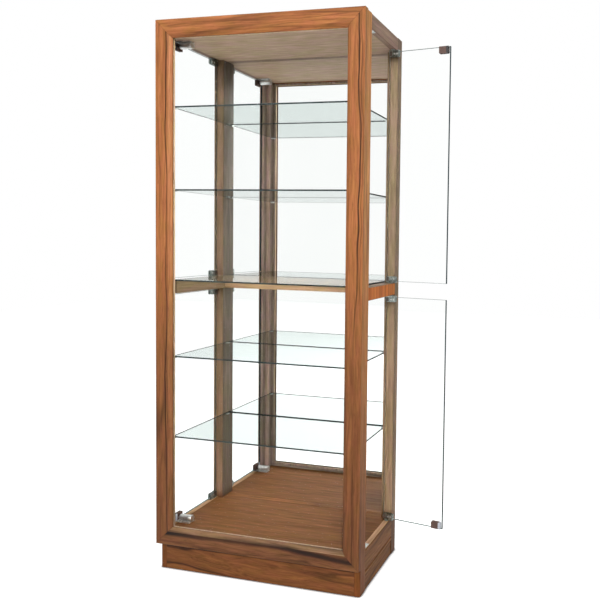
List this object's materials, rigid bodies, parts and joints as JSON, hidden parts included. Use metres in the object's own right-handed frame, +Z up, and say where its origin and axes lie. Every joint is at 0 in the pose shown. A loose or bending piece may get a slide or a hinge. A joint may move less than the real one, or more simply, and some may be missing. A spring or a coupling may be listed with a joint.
{
  "type": "display case",
  "caption": "Tall glazed display case with a mitred wooden front frame, mirrored back, glass shelves and pivoting glass doors in both sides.",
  "frame": {"origin": "on the floor, below the middle of the front plinth board", "axes": "+X to the case's right as seen from the front, +Y from the front frame to the mirrored back, +Z up"},
  "size_m": [0.9163, 0.3315, 1.8],
  "materials": {
    "front_walnut": "satin walnut veneer with a wavy figure",
    "case_walnut": "satin walnut",
    "panel_walnut": "satin walnut veneer",
    "clear_glass": "clear, ground edges",
    "mirror": "silvered glass",
    "back_board": "plain hardboard",
    "fitting_steel": "plated",
    "hinge_metal": "satin plated",
    "strike_brown": "brown, satin",
    "magnet_tip": "bright plated",
    "latch_metal": "satin"
  },
  "bodies": {
    "cabinet": {"front_stile_left": "front_walnut", "front_stile_right": "front_walnut", "front_rail_top": "front_walnut", "front_rail_bottom": "front_walnut", "front_glass_beads": "front_walnut", "post_front_left": "case_walnut", "post_front_right": "case_walnut", "post_back_left": "case_walnut", "post_back_right": "case_walnut", "top_rail_left": "case_walnut", "top_rail_right": "case_walnut", "top_rail_back": "case_walnut", "mid_rail_left": "case_walnut", "mid_rail_right": "case_walnut", "mid_rail_back": "case_walnut", "hinge_block_left": "case_walnut", "hinge_block_right": "case_walnut", "bottom_rail_left": "case_walnut", "bottom_rail_right": "case_walnut", "bottom_rail_back": "case_walnut", "plinth_front": "case_walnut", "plinth_left": "case_walnut", "plinth_right": "case_walnut", "plinth_back": "case_walnut", "top_panel": "panel_walnut", "soffit_panel": "panel_walnut", "floor_panel": "panel_walnut", "front_glass": "clear_glass", "shelf_1": "clear_glass", "shelf_2": "clear_glass", "shelf_3": "clear_glass", "shelf_4": "clear_glass", "shelf_5": "clear_glass", "mirror_upper": "mirror", "mirror_lower": "mirror", "back_board_upper": "back_board", "back_board_lower": "back_board", "shelf_pins": "fitting_steel", "back_clips": "fitting_steel", "hinge_bushes": "hinge_metal", "latch_housings": "latch_metal"},
    "door_upper_left": {"door_glass_upper_left": "clear_glass", "hinge_clips_upper_left": "hinge_metal", "strike_clip_upper_left": "strike_brown"},
    "plunger_upper_left": {"latch_plunger_upper_left": "magnet_tip"},
    "door_upper_right": {"door_glass_upper_right": "clear_glass", "hinge_clips_upper_right": "hinge_metal", "strike_clip_upper_right": "strike_brown"},
    "plunger_upper_right": {"latch_plunger_upper_right": "magnet_tip"},
    "door_lower_left": {"door_glass_lower_left": "clear_glass", "hinge_clips_lower_left": "hinge_metal", "strike_clip_lower_left": "strike_brown"},
    "plunger_lower_left": {"latch_plunger_lower_left": "magnet_tip"},
    "door_lower_right": {"door_glass_lower_right": "clear_glass", "hinge_clips_lower_right": "hinge_metal", "strike_clip_lower_right": "strike_brown"},
    "plunger_lower_right": {"latch_plunger_lower_right": "magnet_tip"}
  },
  "joints": [
    {"name": "door_upper_left_hinge", "type": "hinge", "parent": "cabinet", "child": "door_upper_left", "pos_m": [-0.346, 0.244, 1.3585], "axis": [0, 0, -1], "range_deg": [0, 105]},
    {"name": "door_upper_right_hinge", "type": "hinge", "parent": "cabinet", "child": "door_upper_right", "pos_m": [0.346, 0.244, 1.3585], "axis": [0, 0, 1], "range_deg": [-82, 23]},
    {"name": "door_lower_left_hinge", "type": "hinge", "parent": "cabinet", "child": "door_lower_left", "pos_m": [-0.346, 0.244, 0.525], "axis": [0, 0, -1], "range_deg": [0, 105]},
    {"name": "door_lower_right_hinge", "type": "hinge", "parent": "cabinet", "child": "door_lower_right", "pos_m": [0.346, 0.244, 0.525], "axis": [0, 0, 1], "range_deg": [-82, 23]},
    {"name": "plunger_upper_left_slide", "type": "slide", "parent": "cabinet", "child": "plunger_upper_left", "axis": [1, 0, 0], "range_m": [0, 0.004], "stiffness_N_per_m": 400, "springref_m": -0.003},
    {"name": "plunger_upper_right_slide", "type": "slide", "parent": "cabinet", "child": "plunger_upper_right", "axis": [-1, 0, 0], "range_m": [0, 0.004], "stiffness_N_per_m": 400, "springref_m": -0.003},
    {"name": "plunger_lower_left_slide", "type": "slide", "parent": "cabinet", "child": "plunger_lower_left", "axis": [1, 0, 0], "range_m": [0, 0.004], "stiffness_N_per_m": 400, "springref_m": -0.003},
    {"name": "plunger_lower_right_slide", "type": "slide", "parent": "cabinet", "child": "plunger_lower_right", "axis": [-1, 0, 0], "range_m": [0, 0.004], "stiffness_N_per_m": 400, "springref_m": -0.003}
  ]
}
